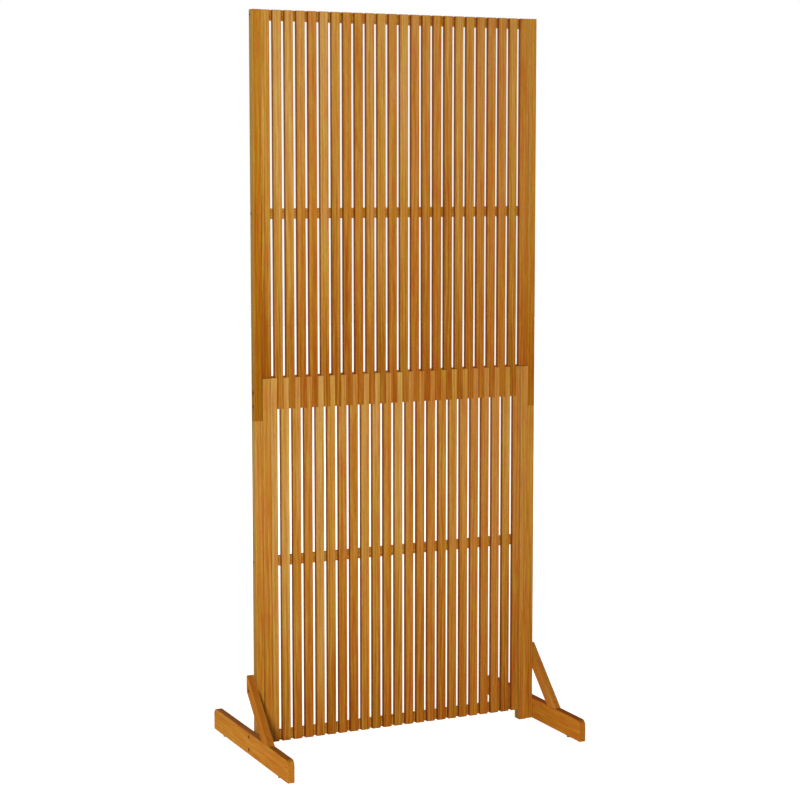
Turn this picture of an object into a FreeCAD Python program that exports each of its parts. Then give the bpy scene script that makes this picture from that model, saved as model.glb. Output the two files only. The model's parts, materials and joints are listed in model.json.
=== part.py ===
import FreeCAD, Part
import os
import Sketcher

# Garden privacy screen: two slatted wooden panels, one above the other, between two feet.
# Millimetres. X runs across the screen, the seen front looks along -Y, Z is up.
# The origin lies on the ground, midway between the feet and at the middle of their length.

os.makedirs("parts", exist_ok=True)
doc = FreeCAD.newDocument("privacy_screen")

# ---------------------------------------------------------------- sizes
sheet = doc.addObject("Spreadsheet::Sheet", "Sizes")

DRIVING = [
    # whole screen
    ("panel_width", 764, "outside of one post to outside of the other"),
    ("top_level", 1800, "top of the screen above the ground"),
    ("panel_front", 9, "front of the outer posts ahead of the middle of the feet"),
    # posts
    ("post_width", 20, "every post and filler strip, across the screen"),
    ("inner_post_lead", 3, "inner posts stand this far ahead of the outer ones"),
    ("joint_level", 925, "top of the lower panel"),
    ("post_lap", 102, "upper posts reach this far down beside the lower ones"),
    ("post_lift", 5, "lower end of the inner posts and strips"),
    ("post_round", 1.5, "rounding of the long post edges"),
    # slats
    ("slat_width", 21.7, "free slats"),
    ("slat_depth", 11, "thickness of every slat"),
    ("slat_set_back", 3, "slats behind the front of the outer posts"),
    ("edge_slat_width", 24.4, "slat beside each post of the upper panel"),
    ("slat_round", 1, "rounding of the long front edges"),
    ("slat_end", 30, "lower end of the slats and of the bottom rail"),
    ("comb_height", 76, "interlocking tongues of the slats, down from the joint"),
    ("comb_gap", 0.3, "play between neighbouring tongues"),
    ("joint_seam", 0.8, "play between upper slats and lower panel"),
    # rails
    ("rail_height", 25, "every rail but the joint rail"),
    ("rail_depth", 9, "thickness of every rail"),
    ("upper_mid_level", 1318.8, "middle of the upper panel's middle rail"),
    ("lower_mid_level", 476.3, "middle of the lower panel's middle rail"),
    ("joint_rail_gap", 4, "between the lower top rail and the joint rail above it"),
    ("joint_rail_show", 3, "joint rail stands above the lower panel"),
    # feet and braces
    ("foot_length", 500, "along Y"),
    ("foot_height", 54, "without the glides"),
    ("foot_thickness", 18, "feet and braces"),
    ("foot_corner", 14, "rounding of the upper corners"),
    ("foot_edge", 1.5, "rounding of the long edges"),
    ("brace_leg", 140.6, "reach of the brace along the foot and up the post"),
    ("brace_width", 30, "square to its length"),
    # glides
    ("glide_height", 4, "under each foot"),
    ("glide_diameter", 14, "disc"),
    ("glide_inset", 64, "from the end of the foot"),
    ("pin_diameter", 3, "glide pin"),
    ("pin_length", 12, "glide pin in the foot"),
    # screws and bolts
    ("screw_diameter", 4.5, "rail, strip and brace screws"),
    ("screw_length", 45, "rail and brace screws, under the head"),
    ("strip_screw_length", 65, "through strip and inner post"),
    ("screw_head", 8, "head diameter"),
    ("bolt_diameter", 6, "joint and foot bolts"),
    ("bolt_head", 10, "head diameter"),
    ("head_height", 3, "every head"),
    ("head_sink", 4, "depth of the counterbores"),
    ("socket_size", 2.2, "corner radius of the hexagon socket"),
    ("socket_depth", 2, "every head"),
    ("hole_play", 0.2, "hole wider than its screw"),
    ("end_play", 1, "hole deeper than its screw"),
    ("bolt_grip", 16, "bolt in the inner post"),
    ("rail_screw_inset", 3.5, "rail screws behind the rail's front"),
    ("lower_top_screw_rise", 16, "screw above the lower top rail's underside"),
    ("bottom_screw_rise", 7, "screw above the bottom rail's underside"),
    ("joint_bolt_drop", 34.5, "upper joint bolt below the top of the lower panel"),
    ("joint_bolt_rise", 34, "lower joint bolt above the end of the upper post"),
    ("foot_bolt_drop", 10, "upper foot bolt below the foot's top"),
    ("foot_bolt_rise", 12.5, "lower foot bolt above the foot's underside"),
    ("brace_screw_drop", 36.6, "brace screw into the post, below the brace's top"),
    ("toe_screw_set", 16.6, "brace screw behind the toe"),
    ("toe_screw_rise", 8, "its seat above the foot"),
]

# The number of free slats in each panel; the gaps are one more.
UPPER_FREE = 22
LOWER_FREE = 21

DERIVED = [
    ("outer_face", "panel_width / 2"),
    ("middle_face", "outer_face - post_width"),
    ("inner_face", "middle_face - post_width"),
    ("foot_face", "outer_face + foot_thickness"),
    ("foot_middle", "foot_thickness / 2"),
    ("foot_axis", "outer_face + foot_middle"),
    ("slat_front", "panel_front - slat_set_back"),
    ("rail_front", "slat_depth - slat_front"),
    ("post_back", "rail_front + rail_depth"),
    ("inner_front", "panel_front + inner_post_lead"),
    ("post_axis", "(post_back - panel_front) / 2"),
    ("screw_axis", "rail_front + rail_screw_inset"),
    ("half_slat", "slat_width / 2"),
    ("pitch", "(middle_face - edge_slat_width + half_slat) * 2 / %d" % (UPPER_FREE + 1)),
    ("tongue_edge", "pitch / 2 - half_slat - comb_gap"),
    ("lower_edge_width", "inner_face + half_slat - pitch * %g" % ((LOWER_FREE + 1) / 2)),
    ("upper_edge_middle", "middle_face - edge_slat_width / 2"),
    ("half_upper_edge", "edge_slat_width / 2"),
    ("lower_edge_middle", "inner_face - lower_edge_width / 2"),
    ("half_lower_edge", "lower_edge_width / 2"),
    ("last_tongue", "pitch * %g + half_slat + comb_gap - lower_edge_middle" % ((UPPER_FREE - 1) / 2)),
    ("outer_post_end", "joint_level - post_lap"),
    ("comb_level", "joint_level - comb_height"),
    ("upper_slat_end", "joint_level + joint_seam"),
    ("tongue_end", "comb_level + comb_gap"),
    ("top_rail_low", "top_level - rail_height"),
    ("top_rail_level", "top_level - rail_height / 2"),
    ("upper_mid_low", "upper_mid_level - rail_height / 2"),
    ("upper_mid_high", "upper_mid_level + rail_height / 2"),
    ("lower_top_high", "comb_level + rail_height"),
    ("joint_rail_low", "lower_top_high + joint_rail_gap"),
    ("joint_rail_high", "joint_level + joint_rail_show"),
    ("joint_rail_level", "(joint_rail_low + joint_rail_high) / 2"),
    ("lower_top_screw", "comb_level + lower_top_screw_rise"),
    ("lower_mid_low", "lower_mid_level - rail_height / 2"),
    ("lower_mid_high", "lower_mid_level + rail_height / 2"),
    ("bottom_rail_high", "slat_end + rail_height"),
    ("bottom_screw", "slat_end + bottom_screw_rise"),
    ("half_foot", "foot_length / 2"),
    ("foot_top", "glide_height + foot_height"),
    ("glide_place", "half_foot - glide_inset"),
    ("brace_cut", "brace_width * sqrt(2)"),
    ("brace_high", "foot_top + brace_leg"),
    ("brace_low", "brace_high - brace_cut"),
    ("toe_place", "brace_leg - post_back"),
    ("heel_place", "toe_place - brace_cut"),
    ("toe_screw_place", "toe_place - toe_screw_set"),
    ("toe_screw_seat", "foot_top + toe_screw_rise"),
    ("brace_screw_level", "brace_high - brace_screw_drop"),
    ("foot_bolt_high", "foot_top - foot_bolt_drop"),
    ("foot_bolt_low", "glide_height + foot_bolt_rise"),
    ("joint_bolt_high", "joint_level - joint_bolt_drop"),
    ("joint_bolt_low", "outer_post_end + joint_bolt_rise"),
    ("screw_hole", "screw_diameter + hole_play"),
    ("screw_bore", "screw_head + 2 * hole_play"),
    ("bolt_hole", "bolt_diameter + hole_play"),
    ("bolt_bore", "bolt_head + 2 * hole_play"),
    ("pin_hole", "pin_diameter + hole_play"),
    ("pin_hole_depth", "pin_length + end_play"),
    ("joint_bolt_length", "post_width + bolt_grip - head_sink"),
    ("foot_bolt_length", "foot_thickness + post_width + bolt_grip - head_sink"),
    ("bolt_hole_depth", "bolt_grip + end_play"),
    ("rail_pilot_depth", "screw_length + head_sink - post_width + end_play"),
    ("strip_pilot_depth", "strip_screw_length + head_sink - 2 * post_width + end_play"),
    ("brace_pilot_depth", "screw_length + head_sink - foot_thickness - post_width + end_play"),
    ("toe_pilot_depth", "screw_length - toe_screw_seat + foot_top + end_play"),
    ("toe_bore_depth", "brace_high - toe_screw_seat"),
    ("head_seat_outer", "outer_face - head_sink"),
    ("head_seat_middle", "middle_face - head_sink"),
    ("head_seat_foot", "foot_face - head_sink"),
]

row = 1
for alias, value, note in DRIVING:
    sheet.set("A%d" % row, alias)
    sheet.set("B%d" % row, "%g" % value)
    sheet.set("C%d" % row, note)
    sheet.setAlias("B%d" % row, alias)
    row += 1
doc.recompute()
for alias, formula in DERIVED:
    sheet.set("A%d" % row, alias)
    sheet.set("B%d" % row, "=" + formula)
    sheet.setAlias("B%d" % row, alias)
    doc.recompute()
    row += 1

subparts = []


def size(alias):
    """The number in the sheet, with the sign that the name carries."""
    if alias == "0":
        return 0.0
    if alias.startswith("-"):
        return -float(sheet.get(alias[1:]))
    return float(sheet.get(alias))


def bind(thing, prop, alias):
    """Ties a property to a size; a leading minus turns it round."""
    if alias == "0":
        return
    if alias.startswith("-"):
        thing.setExpression(prop, "-Sizes." + alias[1:])
    else:
        thing.setExpression(prop, "Sizes." + alias)


# ---------------------------------------------------------------- sketch and body helpers
def new_body(name, across="0", along="0", up="0"):
    body = doc.addObject("PartDesign::Body", name)
    body.Label = name
    bind(body, "Placement.Base.x", across)
    bind(body, "Placement.Base.y", along)
    bind(body, "Placement.Base.z", up)
    subparts.append(body)
    return body


def new_sketch(body, name, role, offset="0"):
    sketch = body.newObject("Sketcher::SketchObject", body.Label + "_" + name)
    plane = [f for f in body.Origin.OriginFeatures if f.Role == role][0]
    sketch.AttachmentSupport = (plane, [""])
    sketch.MapMode = "FlatFace"
    bind(sketch, "AttachmentOffset.Base.z", offset)
    return sketch


def hold(sketch, kind, item, end, alias):
    """Holds one coordinate of a point at a size measured from the sketch's origin."""
    if alias == "0":
        sketch.addConstraint(Sketcher.Constraint("PointOnObject", item, end, -2 if kind == "DistanceX" else -1))
        return
    if alias.startswith("-"):
        rule = Sketcher.Constraint(kind, item, end, -1, 1, size(alias[1:]))
    else:
        rule = Sketcher.Constraint(kind, -1, 1, item, end, size(alias))
    index = sketch.addConstraint(rule)
    sketch.setExpression("Constraints[%d]" % index, "Sizes." + alias.lstrip("-"))


def outline(sketch, corners):
    """A closed outline through corners, each given by the names of its two sizes."""
    points = [FreeCAD.Vector(size(a), size(b), 0) for a, b in corners]
    count = len(points)
    lines = []
    for i in range(count):
        lines.append(sketch.addGeometry(Part.LineSegment(points[i], points[(i + 1) % count]), False))
    for i in range(count):
        sketch.addConstraint(Sketcher.Constraint("Coincident", lines[i], 2, lines[(i + 1) % count], 1))
    for i, (a, b) in enumerate(corners):
        hold(sketch, "DistanceX", lines[i], 1, a)
        hold(sketch, "DistanceY", lines[i], 1, b)


def rectangle(sketch, left, low, right, high):
    outline(sketch, [(left, low), (right, low), (right, high), (left, high)])


def circles(sketch, centres, diameter):
    for a, b in centres:
        ring = Part.Circle(FreeCAD.Vector(size(a), size(b), 0), FreeCAD.Vector(0, 0, 1), size(diameter) / 2)
        item = sketch.addGeometry(ring, False)
        hold(sketch, "DistanceX", item, 3, a)
        hold(sketch, "DistanceY", item, 3, b)
        index = sketch.addConstraint(Sketcher.Constraint("Diameter", item, size(diameter)))
        sketch.setExpression("Constraints[%d]" % index, "Sizes." + diameter)


def pad(body, sketch, length, back=False, both=False):
    feature = body.newObject("PartDesign::Pad", body.Label + "_pad")
    feature.Profile = sketch
    feature.Reversed = back
    feature.Midplane = both
    bind(feature, "Length", length)
    doc.recompute()
    return feature


def pocket(body, sketch, depth, back=False):
    """Cuts a sketch into the body; depth None goes right through both ways."""
    before = body.Shape.Volume
    feature = body.newObject("PartDesign::Pocket", sketch.Label + "_cut")
    feature.Profile = sketch
    if depth is None:
        feature.Type = "ThroughAll"
        feature.Midplane = True
    else:
        feature.Reversed = back
        bind(feature, "Length", depth)
    doc.recompute()
    if not body.Shape.Volume < before - 0.01:
        raise RuntimeError(sketch.Label + " cuts nothing")
    return feature


def round_edges(body, feature, radius, wanted):
    names = []
    for i, edge in enumerate(feature.Shape.Edges):
        ends = [v.Point for v in edge.Vertexes]
        if len(ends) == 2 and wanted(ends[0], ends[1]):
            names.append("Edge%d" % (i + 1))
    fillet = body.newObject("PartDesign::Fillet", body.Label + "_" + radius)
    fillet.Base = (feature, names)
    bind(fillet, "Radius", radius)
    doc.recompute()
    return fillet


def same(a, b):
    return abs(a - b) < 0.001


# ---------------------------------------------------------------- slats
def front_edges(a, b):
    """Upright edges of a slat's front face, in the slat's own frame."""
    return same(a.x, b.x) and same(a.y, 0) and same(b.y, 0) and abs(a.z - b.z) > 1


def slat(name, across, corners):
    body = new_body(name, along="-slat_front")
    body.setExpression("Placement.Base.x", across)
    sketch = new_sketch(body, "front", "XZ_Plane")
    outline(sketch, corners)
    board = pad(body, sketch, "slat_depth", back=True)
    round_edges(body, board, "slat_round", front_edges)
    return body


UPPER_OUTLINE = [("-tongue_edge", "tongue_end"), ("half_slat", "tongue_end"), ("half_slat", "top_level"),
                 ("-half_slat", "top_level"), ("-half_slat", "upper_slat_end"),
                 ("-tongue_edge", "upper_slat_end")]
LOWER_OUTLINE = [("-half_slat", "slat_end"), ("half_slat", "slat_end"), ("half_slat", "joint_level"),
                 ("-tongue_edge", "joint_level"), ("-tongue_edge", "comb_level"),
                 ("-half_slat", "comb_level")]
UPPER_EDGE = [("-half_upper_edge", "upper_slat_end"), ("half_upper_edge", "upper_slat_end"),
              ("half_upper_edge", "top_level"), ("-half_upper_edge", "top_level")]
LOWER_EDGE_LEFT = [("-half_lower_edge", "slat_end"), ("half_lower_edge", "slat_end"),
                   ("half_lower_edge", "joint_level"), ("-half_lower_edge", "joint_level")]
LOWER_EDGE_RIGHT = [("-half_lower_edge", "slat_end"), ("half_lower_edge", "slat_end"),
                    ("half_lower_edge", "joint_level"), ("last_tongue", "joint_level"),
                    ("last_tongue", "comb_level"), ("-half_lower_edge", "comb_level")]

print("pitch", size("pitch"), "tongue", size("half_slat") + size("tongue_edge"))

# Upper panel: one slat per node, numbered from the left.
for i in range(UPPER_FREE):
    place = "Sizes.pitch * %g" % (i - (UPPER_FREE - 1) / 2)
    slat("upper_slat_%02d" % (i + 1), place, UPPER_OUTLINE)
slat("upper_edge_slat_left", "-Sizes.upper_edge_middle", UPPER_EDGE)
slat("upper_edge_slat_right", "Sizes.upper_edge_middle", UPPER_EDGE)
slat("lower_edge_slat_left", "-Sizes.lower_edge_middle", LOWER_EDGE_LEFT)
slat("lower_edge_slat_right", "Sizes.lower_edge_middle", LOWER_EDGE_RIGHT)

# Lower panel: equal slats share a node two by two; the middle one stands alone.
lower = []
for i in range(LOWER_FREE):
    place = "Sizes.pitch * %g" % (i - (LOWER_FREE - 1) / 2)
    lower.append(slat("lower_slat_%02d" % (i + 1), place, LOWER_OUTLINE))
middle = LOWER_FREE // 2
starts = list(range(0, middle, 2)) + list(range(middle + 1, LOWER_FREE, 2))
for i in starts:
    pair = doc.addObject("Part::Compound", "lower_pair_%02d" % (i + 1))
    pair.Label = "lower_slats_%02d_%02d" % (i + 1, i + 2)
    pair.Links = [lower[i], lower[i + 1]]
    subparts.remove(lower[i])
    subparts.remove(lower[i + 1])
    subparts.append(pair)


# ---------------------------------------------------------------- rails
def rail(name, half_length, low, high, screw_level, pilot):
    body = new_body(name, along="rail_front")
    sketch = new_sketch(body, "front", "XZ_Plane")
    rectangle(sketch, "-" + half_length, low, half_length, high)
    pad(body, sketch, "rail_depth", back=True)
    left = new_sketch(body, "left_pilot", "YZ_Plane", offset="-" + half_length)
    circles(left, [("rail_screw_inset", screw_level)], "screw_hole")
    pocket(body, left, pilot, back=True)
    right = new_sketch(body, "right_pilot", "YZ_Plane", offset=half_length)
    circles(right, [("rail_screw_inset", screw_level)], "screw_hole")
    pocket(body, right, pilot)
    return body


rail("top_rail", "middle_face", "top_rail_low", "top_level", "top_rail_level", "rail_pilot_depth")
rail("upper_middle_rail", "middle_face", "upper_mid_low", "upper_mid_high", "upper_mid_level",
     "rail_pilot_depth")
rail("joint_rail", "inner_face", "joint_rail_low", "joint_rail_high", "joint_rail_level",
     "rail_pilot_depth")
rail("lower_top_rail", "inner_face", "comb_level", "lower_top_high", "lower_top_screw",
     "rail_pilot_depth")
rail("lower_middle_rail", "inner_face", "lower_mid_low", "lower_mid_high", "lower_mid_level",
     "strip_pilot_depth")
rail("bottom_rail", "inner_face", "slat_end", "bottom_rail_high", "bottom_screw", "rail_pilot_depth")


# ---------------------------------------------------------------- posts, strips, feet, braces
# These pieces are drawn from the side, and pushed inwards or outwards from one face.
# On the left, side is "-" and inwards is +X; on the right, it is the other way round.
def side_piece(name, side, face, corners, thickness, inwards):
    body = new_body(name, across=side + face)
    sketch = new_sketch(body, "side", "YZ_Plane")
    outline(sketch, corners)
    towards_minus = inwards == (side == "")
    return body, pad(body, sketch, thickness, back=towards_minus)


def side_holes(body, name, side, centres, diameter, depth=None, face="0"):
    """Holes across the screen, sunk from a face and running inwards, or right through."""
    offset = face
    if face != "0" and side == "-":
        offset = "-" + face
    sketch = new_sketch(body, name, "YZ_Plane", offset=offset)
    circles(sketch, centres, diameter)
    pocket(body, sketch, depth, back=(side == "-"))


def upright(a, b):
    return same(a.x, b.x) and same(a.y, b.y)


def lengthwise(a, b):
    return same(a.x, b.x) and same(a.z, b.z)


def sloping(a, b):
    return same(a.x, b.x) and not same(a.y, b.y) and not same(a.z, b.z)


for side, hand in (("-", "left"), ("", "right")):
    # upper panel's post, outside the lower panel's post where the panels overlap
    body, board = side_piece("upper_post_" + hand, side, "outer_face",
                             [("-panel_front", "outer_post_end"), ("post_back", "outer_post_end"),
                              ("post_back", "top_level"), ("-panel_front", "top_level")],
                             "post_width", True)
    round_edges(body, board, "post_round", upright)
    rail_screws = [("screw_axis", "top_rail_level"), ("screw_axis", "upper_mid_level")]
    joint_bolts = [("post_axis", "joint_bolt_high"), ("post_axis", "joint_bolt_low")]
    side_holes(body, "screw_holes", side, rail_screws, "screw_hole")
    side_holes(body, "screw_bores", side, rail_screws, "screw_bore", "head_sink")
    side_holes(body, "bolt_holes", side, joint_bolts, "bolt_hole")
    side_holes(body, "bolt_bores", side, joint_bolts, "bolt_bore", "head_sink")

    # strip that fills the same line below the upper post
    body, board = side_piece("filler_strip_" + hand, side, "outer_face",
                             [("-panel_front", "post_lift"), ("post_back", "post_lift"),
                              ("post_back", "outer_post_end"), ("-panel_front", "outer_post_end")],
                             "post_width", True)
    round_edges(body, board, "post_round", upright)
    strip_screw = [("screw_axis", "lower_mid_level")]
    brace_screw = [("post_axis", "brace_screw_level")]
    foot_bolts = [("post_axis", "foot_bolt_high"), ("post_axis", "foot_bolt_low")]
    side_holes(body, "screw_holes", side, strip_screw + brace_screw, "screw_hole")
    side_holes(body, "screw_bore", side, strip_screw, "screw_bore", "head_sink")
    side_holes(body, "bolt_holes", side, foot_bolts, "bolt_hole")

    # lower panel's post
    body, board = side_piece("inner_post_" + hand, side, "middle_face",
                             [("-inner_front", "post_lift"), ("post_back", "post_lift"),
                              ("post_back", "joint_level"), ("-inner_front", "joint_level")],
                             "post_width", True)
    round_edges(body, board, "post_round", upright)
    hidden_screws = [("screw_axis", "joint_rail_level"), ("screw_axis", "lower_top_screw"),
                     ("screw_axis", "bottom_screw")]
    side_holes(body, "screw_holes", side, hidden_screws + strip_screw, "screw_hole")
    side_holes(body, "screw_bores", side, hidden_screws, "screw_bore", "head_sink")
    side_holes(body, "brace_pilot", side, brace_screw, "screw_hole", "brace_pilot_depth")
    side_holes(body, "bolt_pilots", side, joint_bolts + foot_bolts, "bolt_hole", "bolt_hole_depth")

    # foot, outside the panel
    body, board = side_piece("foot_" + hand, side, "outer_face",
                             [("-half_foot", "glide_height"), ("half_foot", "glide_height"),
                              ("half_foot", "foot_top"), ("-half_foot", "foot_top")],
                             "foot_thickness", False)

    def corner(a, b):
        return same(a.z, size("foot_top")) and same(b.z, a.z) and same(a.y, b.y)

    board = round_edges(body, board, "foot_corner", corner)
    round_edges(body, board, "foot_edge", lengthwise)
    side_holes(body, "bolt_holes", side, foot_bolts, "bolt_hole")
    side_holes(body, "bolt_bores", side, foot_bolts, "bolt_bore", "head_sink", "foot_thickness")
    under = new_sketch(body, "glide_pilots", "XY_Plane", offset="glide_height")
    circles(under, [(side + "foot_middle", "-glide_place"), (side + "foot_middle", "glide_place")],
            "pin_hole")
    pocket(body, under, "pin_hole_depth", back=True)
    upper = new_sketch(body, "toe_pilot", "XY_Plane", offset="foot_top")
    circles(upper, [(side + "foot_middle", "-toe_screw_place")], "screw_hole")
    pocket(body, upper, "toe_pilot_depth")

    # brace in front of the post, standing on the foot
    body, board = side_piece("brace_" + hand, side, "outer_face",
                             [("post_back", "brace_low"), ("post_back", "brace_high"),
                              ("-toe_place", "foot_top"), ("-heel_place", "foot_top")],
                             "foot_thickness", False)
    round_edges(body, board, "foot_edge", sloping)
    side_holes(body, "screw_hole", side, brace_screw, "screw_hole")
    side_holes(body, "screw_bore", side, brace_screw, "screw_bore", "head_sink", "foot_thickness")
    toe = new_sketch(body, "toe_hole", "XY_Plane", offset="foot_top")
    circles(toe, [(side + "foot_middle", "-toe_screw_place")], "screw_hole")
    pocket(body, toe, None)
    toe = new_sketch(body, "toe_bore", "XY_Plane", offset="toe_screw_seat")
    circles(toe, [(side + "foot_middle", "-toe_screw_place")], "screw_bore")
    pocket(body, toe, "toe_bore_depth", back=True)


# ---------------------------------------------------------------- fasteners and glides
# Each screw is drawn upright with the underside of its head at the origin, then laid in place.
UP = FreeCAD.Rotation()
HEAD_LEFT = FreeCAD.Rotation(FreeCAD.Vector(0, 1, 0), -90)
HEAD_RIGHT = FreeCAD.Rotation(FreeCAD.Vector(0, 1, 0), 90)


def cylinder(name, diameter, height, along="0"):
    thing = doc.addObject("Part::Cylinder", name)
    thing.setExpression("Radius", "Sizes.%s / 2" % diameter)
    bind(thing, "Height", height)
    bind(thing, "Placement.Base.z", along)
    return thing


def screw(name, diameter, head, length, turn, across, along, up):
    shank = cylinder(name + "_shank", diameter, length, "-" + length)
    cap = cylinder(name + "_head", head, "head_height")
    whole = doc.addObject("Part::Fuse", name + "_whole")
    whole.Base = shank
    whole.Tool = cap
    socket = doc.addObject("Part::Prism", name + "_socket")
    socket.Polygon = 6
    bind(socket, "Circumradius", "socket_size")
    bind(socket, "Height", "socket_depth")
    socket.setExpression("Placement.Base.z", "Sizes.head_height - Sizes.socket_depth")
    made = doc.addObject("Part::Cut", name)
    made.Base = whole
    made.Tool = socket
    made.Placement = FreeCAD.Placement(FreeCAD.Vector(0, 0, 0), turn)
    bind(made, "Placement.Base.x", across)
    bind(made, "Placement.Base.y", along)
    bind(made, "Placement.Base.z", up)
    return made


def gather(name, pieces):
    group = doc.addObject("Part::Compound", name + "_group")
    group.Label = name
    group.Links = pieces
    subparts.append(group)


def side_screws(name, diameter, head, length, seat, places):
    """Screws that run across the screen, the same on both sides."""
    made = []
    for i, (along, up) in enumerate(places):
        tag = "%s_%d" % (name, i + 1)
        made.append(screw(tag + "_left", diameter, head, length, HEAD_LEFT, "-" + seat, along, up))
        made.append(screw(tag + "_right", diameter, head, length, HEAD_RIGHT, seat, along, up))
    return made


rail_set = side_screws("outer_rail_screw", "screw_diameter", "screw_head", "screw_length",
                       "head_seat_outer", rail_screws)
rail_set += side_screws("inner_rail_screw", "screw_diameter", "screw_head", "screw_length",
                        "head_seat_middle", hidden_screws)
gather("rail_screws", rail_set)
gather("strip_screws", side_screws("strip_screw", "screw_diameter", "screw_head",
                                   "strip_screw_length", "head_seat_outer", strip_screw))
gather("joint_bolts", side_screws("joint_bolt", "bolt_diameter", "bolt_head",
                                  "joint_bolt_length", "head_seat_outer", joint_bolts))
gather("foot_bolts", side_screws("foot_bolt", "bolt_diameter", "bolt_head",
                                 "foot_bolt_length", "head_seat_foot", foot_bolts))
brace_set = side_screws("brace_screw", "screw_diameter", "screw_head", "screw_length",
                        "head_seat_foot", brace_screw)
glide_set = []
for side, hand in (("-", "left"), ("", "right")):
    brace_set.append(screw("toe_screw_" + hand, "screw_diameter", "screw_head", "screw_length", UP,
                           side + "foot_axis", "-toe_screw_place", "toe_screw_seat"))
    for end, sign in (("front", "-"), ("rear", "")):
        tag = "glide_%s_%s" % (hand, end)
        disc = cylinder(tag + "_disc", "glide_diameter", "glide_height")
        pin = cylinder(tag + "_pin", "pin_diameter", "pin_length", "glide_height")
        glide = doc.addObject("Part::Fuse", tag)
        glide.Base = disc
        glide.Tool = pin
        bind(glide, "Placement.Base.x", side + "foot_axis")
        bind(glide, "Placement.Base.y", sign + "glide_place")
        glide_set.append(glide)
gather("brace_screws", brace_set)
gather("glides", glide_set)

# ---------------------------------------------------------------- check and write
doc.recompute()
for thing in doc.Objects:
    if "Invalid" in thing.State or "Error" in thing.State:
        raise RuntimeError(thing.Label + " failed")
for thing in subparts:
    if thing.Shape.isNull() or not thing.Shape.isValid():
        raise RuntimeError(thing.Label + " has no valid shape")
for thing in subparts:
    thing.Shape.exportStep("parts/%s.step" % thing.Label)
print("nodes", len(subparts))
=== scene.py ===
import json
import math

import bpy
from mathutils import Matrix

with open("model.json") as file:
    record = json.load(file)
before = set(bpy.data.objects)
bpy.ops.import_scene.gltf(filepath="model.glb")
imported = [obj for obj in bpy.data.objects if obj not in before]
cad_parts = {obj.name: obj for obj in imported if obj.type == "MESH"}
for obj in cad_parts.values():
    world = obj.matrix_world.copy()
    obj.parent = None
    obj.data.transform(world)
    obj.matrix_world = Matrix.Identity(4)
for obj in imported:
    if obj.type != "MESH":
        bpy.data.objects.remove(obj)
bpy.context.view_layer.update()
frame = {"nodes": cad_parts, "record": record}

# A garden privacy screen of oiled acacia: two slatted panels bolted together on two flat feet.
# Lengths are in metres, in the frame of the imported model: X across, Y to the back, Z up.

# ---- the screen --------------------------------------------------------------------------

MM = 0.001
SLAT_PITCH = 30.3 * MM      # from one slat to the next
PANEL_HALF = 362.2 * MM     # just past the inner posts' outer sides
RAIL_CELL = 29 * MM         # no two rails lie in one slice of this height
FOOT_CELL = 200 * MM        # a slice of this width holds one foot, or one brace
GROUND_LEVEL = 0
JOINT_LEVEL = 925 * MM      # where the lower panel ends
TOP_LEVEL = 1800 * MM
MIDDLE = (0, 0, 900 * MM)
BEYOND = 9                  # a cell's size where it need not part two boards

# ---- acacia ------------------------------------------------------------------------------

RING_WIDTH = 7.0 * MM       # broad summer growth, as it shows on a planed face
STREAK_WIDTH = 2.6 * MM     # bands of colour within a ring
STREAK_LENGTH = 170 * MM
PORE_WIDTH = 0.35 * MM      # open vessels, seen as short dark dashes
PORE_LENGTH = 6.0 * MM
PORE_DEPTH = 0.12 * MM
BENDS = (9, 9, 1.4)         # per metre, across the grain twice and then along it
CLOUDS = (60, 60, 7.5)      # patches of red heartwood, per metre
FLECKS = (190, 190, 16)     # olive and orange flecks, per metre
BEND_SIZE = (0.03, 0.03, 0)                      # how far the rings wander
LOG_SIZE = (0.3, 0.24, 7.0)                      # boards are cut from a log of this size

RING_SHARE = 0.16           # of the tone, where a streak has 1
PORE_SHARE = 0.30           # how dark a pore is
END_SHARE = 0.12            # how much darker end grain is
HUE_TURN = 0.018            # how far a fleck leaves the board's own hue
TONE_STOPS = (0.15, 0.5, 0.85)                   # where the dark, middle and light tones lie
DEEP = ("#70260A", "#7A2C0C")                    # dark red brown, dark and light: painted shade on sides and tops, and the dark one also for pores and end grain
OLIVE = ("#785810", "#92905A")                   # olive, dark and light, tinting the posts' side faces

UPRIGHT = (0, 0, 0)                              # grain along Z
ALONG_RAIL = (0, math.radians(-90), 0)           # grain along X
ALONG_FOOT = (math.radians(90), 0, 0)            # grain along Y
ALONG_BRACE = (math.radians(45), 0, 0)           # grain up the slope of a brace
SIDEWAYS = (1, 0, 0)
UPWARDS = (0, 0, 1)

# ---- steel and plastic -------------------------------------------------------------------

LATHE_LINE = 0.25 * MM      # lines left by the lathe on a screw head
LINES_ACROSS = 60           # per metre, along a screw
SURFACE_DEPTH = 0.05 * MM   # of those lines, and of the glides' moulded grit


def paint(code):
    """The linear colour of an sRGB hex value."""
    levels = [int(code[i:i + 2], 16) / 255 for i in (1, 3, 5)]
    return [v / 12.92 if v <= 0.04045 else ((v + 0.055) / 1.055) ** 2.4 for v in levels] + [1.0]


def add(tree, kind, links=None, **settings):
    """A new node of that kind. links gives its inputs, as a number or as another's output."""
    node = tree.nodes.new(kind)
    for name, value in settings.items():
        setattr(node, name, value)
    for socket, source in (links or {}).items():
        if isinstance(source, bpy.types.NodeSocket):
            tree.links.new(source, node.inputs[socket])
        else:
            node.inputs[socket].default_value = source
    return node


def math_node(tree, operation, first, second=0.0, third=0.0, clamp=False):
    """The output of one sum."""
    return add(tree, "ShaderNodeMath", {0: first, 1: second, 2: third},
               operation=operation, use_clamp=clamp).outputs[0]


def vector_node(tree, operation, first, second=(0, 0, 0)):
    """The output of one sum of vectors."""
    return add(tree, "ShaderNodeVectorMath", {0: first, 1: second},
               operation=operation).outputs[0]


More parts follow.
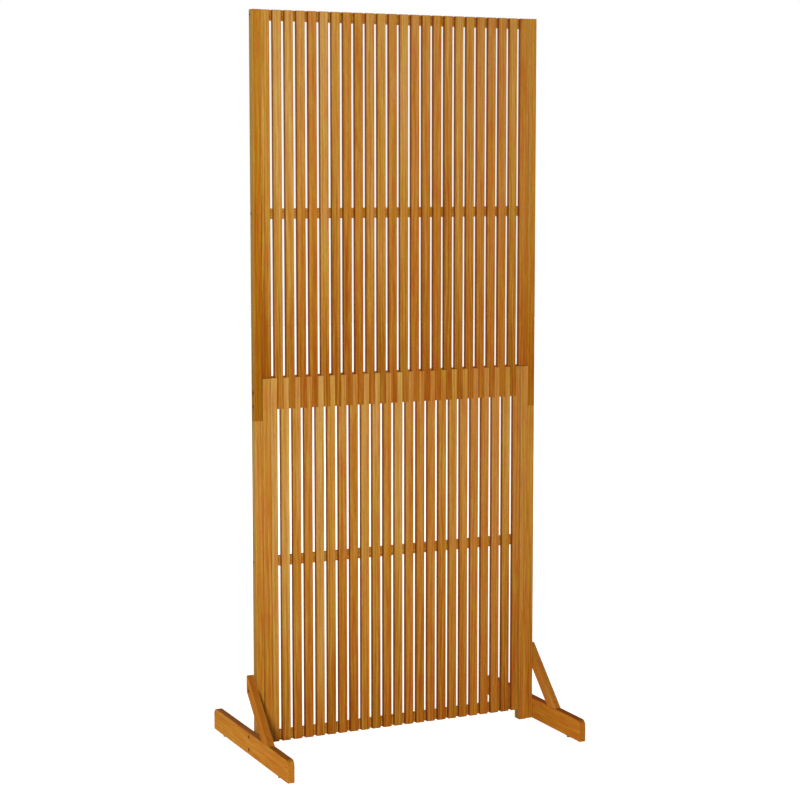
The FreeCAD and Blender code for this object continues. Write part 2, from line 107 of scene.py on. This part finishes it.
def turned(tree, value, low, high, new_low=0.0, new_high=1.0):
    """That value with low to high turned into new_low to new_high, and held at both ends."""
    return add(tree, "ShaderNodeMapRange",
               {"Value": value, "From Min": low, "From Max": high,
                "To Min": new_low, "To Max": new_high}).outputs[0]


def mixed(tree, share, first, second):
    """The first colour, with that share of the second."""
    return add(tree, "ShaderNodeMix", {"Factor": share, 6: first, 7: second},
               data_type="RGBA").outputs[2]


def noise(tree, place, scale, detail, roughness=0.5, stretch=None):
    """A noise texture. stretch draws it out, with its repeats per metre each way."""
    if stretch:
        place = add(tree, "ShaderNodeMapping", {"Vector": place, "Scale": stretch}).outputs[0]
    return add(tree, "ShaderNodeTexNoise", {"Vector": place, "Scale": scale, "Detail": detail,
                                            "Roughness": roughness})


def object_place(tree):
    """Each point's place on the object."""
    return add(tree, "ShaderNodeTexCoord").outputs["Object"]


def new_material(name):
    """An empty material, and its tree."""
    material = bpy.data.materials.new(name)
    material.use_nodes = True
    tree = material.node_tree
    tree.nodes.clear()
    return material, tree


def end_in(tree, depth, height, strength, settings):
    """Ends a material in a surface with those settings and a bump of that depth."""
    bump = add(tree, "ShaderNodeBump", {"Height": height, "Strength": strength,
                                        "Distance": depth})
    shader = add(tree, "ShaderNodeBsdfPrincipled", {"Normal": bump.outputs[0], **settings})
    add(tree, "ShaderNodeOutputMaterial", {"Surface": shader.outputs[0]})


def oiled_acacia(name, grain, cell, shift, tones, red, red_share, spread, figure, face_shade_and_tint,
                 fall=None):
    """Planed acacia under a thin coat of oil: broad soft rings, long streaks that run from
    yellow to red brown, short dark pores and a dull sheen. Each cell of space holds one
    board, so that each board has its own tone. spread is how far the boards' tones lie
    apart, and figure how strongly a board's streaks show. The argument after figure, a way,
    a share and a dark and light tone, turns the faces that look along that way towards
    those tones: painted shade on the slats' sides in their gaps and on the tops and
    undersides of feet, braces and rails, and an olive tint on the posts' sides. fall
    darkens a board towards its lower end, from one level to another."""
    material, tree = new_material(name)
    place = object_place(tree)
    scaled = vector_node(tree, "DIVIDE", vector_node(tree, "ADD", place, shift), cell)
    board = vector_node(tree, "FLOOR", scaled)
    chance = add(tree, "ShaderNodeTexWhiteNoise", {"Vector": board},
                 noise_dimensions="3D").outputs["Color"]
    lot = add(tree, "ShaderNodeSeparateColor", {0: chance})

    # each board is cut from another part of the log
    along = add(tree, "ShaderNodeMapping", {"Vector": place, "Rotation": grain}).outputs[0]
    log = vector_node(tree, "ADD", along, vector_node(tree, "MULTIPLY", chance, LOG_SIZE))

    # the log's slow bends make the rings wander along a board
    bend = noise(tree, log, 1.0, 3.0, 0.55, BENDS).outputs["Color"]
    bent = vector_node(tree, "ADD", log, vector_node(tree, "MULTIPLY", bend, BEND_SIZE))
    rings = add(tree, "ShaderNodeTexWave",
                {"Vector": bent, "Scale": 2 * math.pi / (20 * RING_WIDTH),
                 "Distortion": 1.2, "Detail": 2.0, "Detail Scale": 0.6},
                wave_type="RINGS", rings_direction="Z", wave_profile="SIN")

    streaks = noise(tree, bent, 0.5, 4.0, 0.6,
                    (1 / STREAK_WIDTH, 1 / STREAK_WIDTH, 1 / STREAK_LENGTH)).outputs[0]
    clouds = noise(tree, log, 1.0, 2.0, 0.5, CLOUDS).outputs[0]
    flecks = noise(tree, log, 1.0, 2.0, 0.5, FLECKS).outputs[0]
    pores = turned(tree, noise(tree, log, 0.45, 1.0, 0.4,
                               (1 / PORE_WIDTH, 1 / PORE_WIDTH, 1 / PORE_LENGTH)).outputs[0],
                   0.60, 0.72)

    # tone: 0 dark, 1 light, and 0.5 in the mean
    ring_part = math_node(tree, "MULTIPLY", rings.outputs["Fac"], RING_SHARE * figure)
    streak_part = math_node(tree, "MULTIPLY_ADD", streaks, figure, ring_part)
    board_part = math_node(tree, "MULTIPLY_ADD", lot.outputs[0], spread, streak_part)
    mean = 0.5 * spread + (0.5 + 0.5 * RING_SHARE) * figure
    tone = math_node(tree, "SUBTRACT", board_part, mean - 0.5)
    if fall:
        low, high, depth = fall
        level = add(tree, "ShaderNodeSeparateXYZ", {0: place}).outputs["Z"]
        down = math_node(tree, "POWER", turned(tree, level, low, high, 1.0, 0.0), 2.0)
        # a square is 1/3 in the mean, so the board's mean tone stays
        tone = math_node(tree, "ADD", tone,
                         math_node(tree, "MULTIPLY_ADD", down, -2 * depth, 0.67 * depth))
    wood = add(tree, "ShaderNodeValToRGB", {"Fac": tone})
    ramp = wood.color_ramp
    ramp.elements[0].position, ramp.elements[0].color = TONE_STOPS[0], paint(tones[0])
    ramp.elements[1].position, ramp.elements[1].color = TONE_STOPS[2], paint(tones[2])
    ramp.elements.new(TONE_STOPS[1]).color = paint(tones[1])

    # red heartwood comes and goes along the boards that have it
    heart_share = turned(tree, math_node(tree, "ADD", clouds, lot.outputs[1]), 0.75, 1.35,
                         0.0, red_share)
    heart = mixed(tree, heart_share, wood.outputs[0], paint(red))
    hue = turned(tree, flecks, 0.25, 0.75, 0.5 - HUE_TURN, 0.5 + HUE_TURN)
    hued = add(tree, "ShaderNodeHueSaturation", {"Hue": hue, "Color": heart}).outputs[0]

    # painted shade on faces along one way (the slats' sides, the tops and undersides of feet,
    # braces and rails), an olive tint on the posts' sides, and darker end grain and pores
    normal = add(tree, "ShaderNodeNewGeometry").outputs["Normal"]
    face_axis, face_most, face_tones = face_shade_and_tint
    side = add(tree, "ShaderNodeVectorMath", {0: normal, 1: face_axis}, operation="DOT_PRODUCT")
    face_share = turned(tree, math_node(tree, "ABSOLUTE", side.outputs["Value"]), 0.35, 0.95,
                        0.0, face_most)
    face_look = mixed(tree, tone, paint(face_tones[0]), paint(face_tones[1]))
    faces_shaded_and_tinted = mixed(tree, face_share, hued, face_look)
    facing = add(tree, "ShaderNodeMapping", {"Vector": normal, "Rotation": grain},
                 vector_type="VECTOR")
    end = add(tree, "ShaderNodeSeparateXYZ", {0: facing.outputs[0]}).outputs["Z"]
    end_share = turned(tree, math_node(tree, "ABSOLUTE", end), 0.8, 0.97, 0.0, END_SHARE)
    dark = math_node(tree, "MULTIPLY_ADD", pores, PORE_SHARE, end_share, clamp=True)

    relief = math_node(tree, "MULTIPLY_ADD", pores, -0.7, streaks)
    end_in(tree, PORE_DEPTH, relief, 0.35,
           {"Base Color": mixed(tree, dark, faces_shaded_and_tinted, paint(DEEP[0])),
            "Roughness": turned(tree, streaks, 0.3, 0.7, 0.88, 0.74),
            "IOR": 1.47, "Specular IOR Level": 0.04})
    return material


def browned_steel(name, base, worn):
    """A screw or bolt head, turned and browned: dark, with fine lines round it and a few
    lighter rubbed spots."""
    material, tree = new_material(name)
    place = object_place(tree)
    lines = noise(tree, place, 0.6, 2.0,
                  stretch=(LINES_ACROSS, 1 / LATHE_LINE, 1 / LATHE_LINE)).outputs[0]
    rubbed = turned(tree, noise(tree, place, 700.0, 3.0).outputs[0], 0.5, 0.75, 0.0, 0.6)
    end_in(tree, SURFACE_DEPTH, lines, 0.25,
           {"Base Color": mixed(tree, rubbed, paint(base), paint(worn)), "Metallic": 1.0,
            "Roughness": turned(tree, lines, 0.3, 0.7, 0.38, 0.6)})
    return material


def moulded_polyethylene(name, base, scuff):
    """A nail-in glide: black, moulded matt, scuffed grey where it has slid."""
    material, tree = new_material(name)
    place = object_place(tree)
    grit = noise(tree, place, 2500.0, 2.0).outputs[0]
    rubbed = turned(tree, noise(tree, place, 260.0, 3.0).outputs[0], 0.45, 0.8, 0.0, 0.7)
    end_in(tree, SURFACE_DEPTH, grit, 0.3,
           {"Base Color": mixed(tree, rubbed, paint(base), paint(scuff)),
            "Roughness": 0.55, "IOR": 1.51})
    return material


# ---- finishes ----------------------------------------------------------------------------

def boards_across(width, start=0, draw=0):
    """Cells of that width across X, one board in each. Each draw deals out other tones."""
    return {"cell": (width, BEYOND, BEYOND), "shift": (start, draw * BEYOND + 1, 1)}


# In these finishes the DEEP tones on faces turned SIDEWAYS or UPWARDS are painted shade: on the
# slats' sides in their gaps and on the tops and undersides of rails, feet and braces. The OLIVE
# tones tint the posts' sides.
finishes = {
    "upper_slat_wood": oiled_acacia(
        "Oiled acacia upper slats", UPRIGHT, **boards_across(SLAT_PITCH),
        tones=("#96540E", "#BC822C", "#CE9E5A"), red="#B26018", red_share=0.42,
        spread=0.16, figure=1.0, face_shade_and_tint=(SIDEWAYS, 0.62, DEEP),
        fall=(JOINT_LEVEL, TOP_LEVEL, 0.19)),
    "lower_slat_wood": oiled_acacia(
        "Oiled acacia lower slats", UPRIGHT, **boards_across(SLAT_PITCH, SLAT_PITCH / 2),
        tones=("#96540E", "#BC822C", "#CE9E5A"), red="#B26018", red_share=0.42,
        spread=0.23, figure=1.0, face_shade_and_tint=(SIDEWAYS, 0.62, DEEP),
        fall=(GROUND_LEVEL, JOINT_LEVEL, 0.19)),
    "upper_post_wood": oiled_acacia(
        "Oiled acacia upper posts", UPRIGHT, **boards_across(PANEL_HALF, draw=7),
        tones=("#8A5206", "#B47818", "#CC9A46"), red="#AA600E", red_share=0.40,
        spread=0.26, figure=0.9, face_shade_and_tint=(SIDEWAYS, 0.6, OLIVE),
        fall=(JOINT_LEVEL, TOP_LEVEL, 0.20)),
    "post_wood": oiled_acacia(
        "Oiled acacia lower posts", UPRIGHT, **boards_across(PANEL_HALF, draw=76),
        tones=("#965208", "#BC7E28", "#CC9854"), red="#AE5A12", red_share=0.36,
        spread=0.2, figure=0.9, face_shade_and_tint=(SIDEWAYS, 0.6, OLIVE),
        fall=(GROUND_LEVEL, JOINT_LEVEL, 0.12)),
    "rail_wood": oiled_acacia(
        "Oiled acacia rails", ALONG_RAIL, (BEYOND, BEYOND, RAIL_CELL), (1, 1, 0),
        tones=("#9C5A0E", "#C6862C", "#D6A054"), red="#B86418", red_share=0.5,
        spread=0.2, figure=1.0, face_shade_and_tint=(UPWARDS, 0.3, DEEP)),
    "foot_wood": oiled_acacia(
        "Oiled acacia feet", ALONG_FOOT, **boards_across(FOOT_CELL, FOOT_CELL / 2),
        tones=("#96500A", "#BE7C26", "#CC964C"), red="#B26418", red_share=0.5,
        spread=0.2, figure=0.6, face_shade_and_tint=(UPWARDS, 0.45, DEEP)),
    "brace_wood": oiled_acacia(
        "Oiled acacia braces", ALONG_BRACE, **boards_across(FOOT_CELL, FOOT_CELL / 2, draw=4),
        tones=("#924E0A", "#B87826", "#CA944C"), red="#B06218", red_share=0.4,
        spread=0.25, figure=0.7, face_shade_and_tint=(UPWARDS, 0.15, DEEP)),
    "screw_steel": browned_steel("Browned turned steel", "#442206", "#744012"),
    "glide_plastic": moulded_polyethylene("Black moulded polyethylene", "#16120F", "#4A4642"),
}
for part in frame["record"]["subparts"]:
    for seat in frame["nodes"][part["node"]].material_slots:
        seat.material = finishes[part["material_slot"]]

bpy.ops.object.select_all(action="DESELECT")

# ---- camera ------------------------------------------------------------------------------

CAMERA_PLACE = (-2.0613, -4.3922, 1.4307)
CAMERA_DOWN = math.radians(5.607)
CAMERA_RIGHT = math.radians(25.2082)

camera_data = bpy.data.cameras.new("Camera")
camera = bpy.data.objects.new("Camera", camera_data)
bpy.context.scene.collection.objects.link(camera)
camera_data.sensor_width = 36.0
camera_data.lens = 88.594
camera_data.shift_y = -0.05
camera_data.clip_start, camera_data.clip_end = 0.05, 60.0
camera.location = CAMERA_PLACE
camera.rotation_euler = (math.radians(90) - CAMERA_DOWN, 0, -CAMERA_RIGHT)
bpy.context.scene.camera = camera

# ---- floor and light ---------------------------------------------------------------------

FLOOR_SIZE = 24
FLOOR_OWN = (0.86, 1.0)     # how white the floor looks by itself, near the screen and away
FLOOR_NEAR, FLOOR_AWAY = 0.8, 3.0
SKY_LIGHT = (0.15, 0.18)    # what the world lights with, at the horizon and overhead
WHITE = (1, 1, 1, 1)


def backdrop_rays(tree):
    """1 for the rays that show the backdrop, and 0 for those that carry its light."""
    ray = add(tree, "ShaderNodeLightPath")
    bare = math_node(tree, "MAXIMUM", ray.outputs["Is Camera Ray"], ray.outputs["Is Glossy Ray"])
    return math_node(tree, "MAXIMUM", bare, ray.outputs["Is Transmission Ray"])


bpy.ops.mesh.primitive_plane_add(size=FLOOR_SIZE, location=(0, 0, 0))
floor = bpy.context.object
floor.name = "floor"
floor_paint, tree = new_material("Pale studio floor")
floor_colour = mixed(tree, noise(tree, object_place(tree), 0.7, 1.0).outputs[0],
                     paint("#E6E6E4"), paint("#EBEBEA"))
away = add(tree, "ShaderNodeVectorMath", {0: object_place(tree)}, operation="LENGTH")
own_white = turned(tree, away.outputs["Value"], FLOOR_NEAR, FLOOR_AWAY, *FLOOR_OWN)
glow = math_node(tree, "MULTIPLY", backdrop_rays(tree), own_white)
matt = add(tree, "ShaderNodeBsdfDiffuse", {"Color": floor_colour})
own = add(tree, "ShaderNodeEmission", {"Color": WHITE, "Strength": glow})
both = add(tree, "ShaderNodeAddShader", {0: matt.outputs[0], 1: own.outputs[0]})
add(tree, "ShaderNodeOutputMaterial", {"Surface": both.outputs[0]})
floor.data.materials.append(floor_paint)

world = bpy.data.worlds.new("Studio")
bpy.context.scene.world = world
world.use_nodes = True
tree = world.node_tree
tree.nodes.clear()
way = add(tree, "ShaderNodeSeparateXYZ",
          {0: add(tree, "ShaderNodeTexCoord").outputs["Generated"]})
walls = turned(tree, way.outputs["Z"], 0.0, 0.9, *SKY_LIGHT)
strength = add(tree, "ShaderNodeMix", {"Factor": backdrop_rays(tree), 2: walls, 3: 1.0},
               data_type="FLOAT")
sky = add(tree, "ShaderNodeBackground", {"Color": WHITE, "Strength": strength.outputs[0]})
add(tree, "ShaderNodeOutputWorld", {"Surface": sky.outputs[0]})


def soft_lamp(name, place, width, height, power):
    """A large soft lamp at a place, turned to the middle of the screen."""
    data = bpy.data.lights.new(name, "AREA")
    data.shape, data.size, data.size_y, data.energy = "RECTANGLE", width, height, power
    lamp = bpy.data.objects.new(name, data)
    bpy.context.scene.collection.objects.link(lamp)
    lamp.location = place
    lamp.visible_camera = False
    line = [a - p for a, p in zip(MIDDLE, place)]
    lamp.rotation_euler = (math.atan2(math.hypot(line[0], line[1]), -line[2]), 0,
                           math.atan2(line[1], line[0]) - math.pi / 2)


soft_lamp("Front", (-2.75, -4.76, 1.0), 0.8, 0.9, power=222)
soft_lamp("Left", (-5.2, 0.0, 0.9), 2.0, 1.9, power=90)
soft_lamp("Right", (5.2, 0.0, 0.9), 2.0, 1.9, power=100)
soft_lamp("Back", (-0.6, 5.2, 1.2), 1.6, 1.9, power=120)

bpy.context.scene.view_settings.view_transform = "Standard"
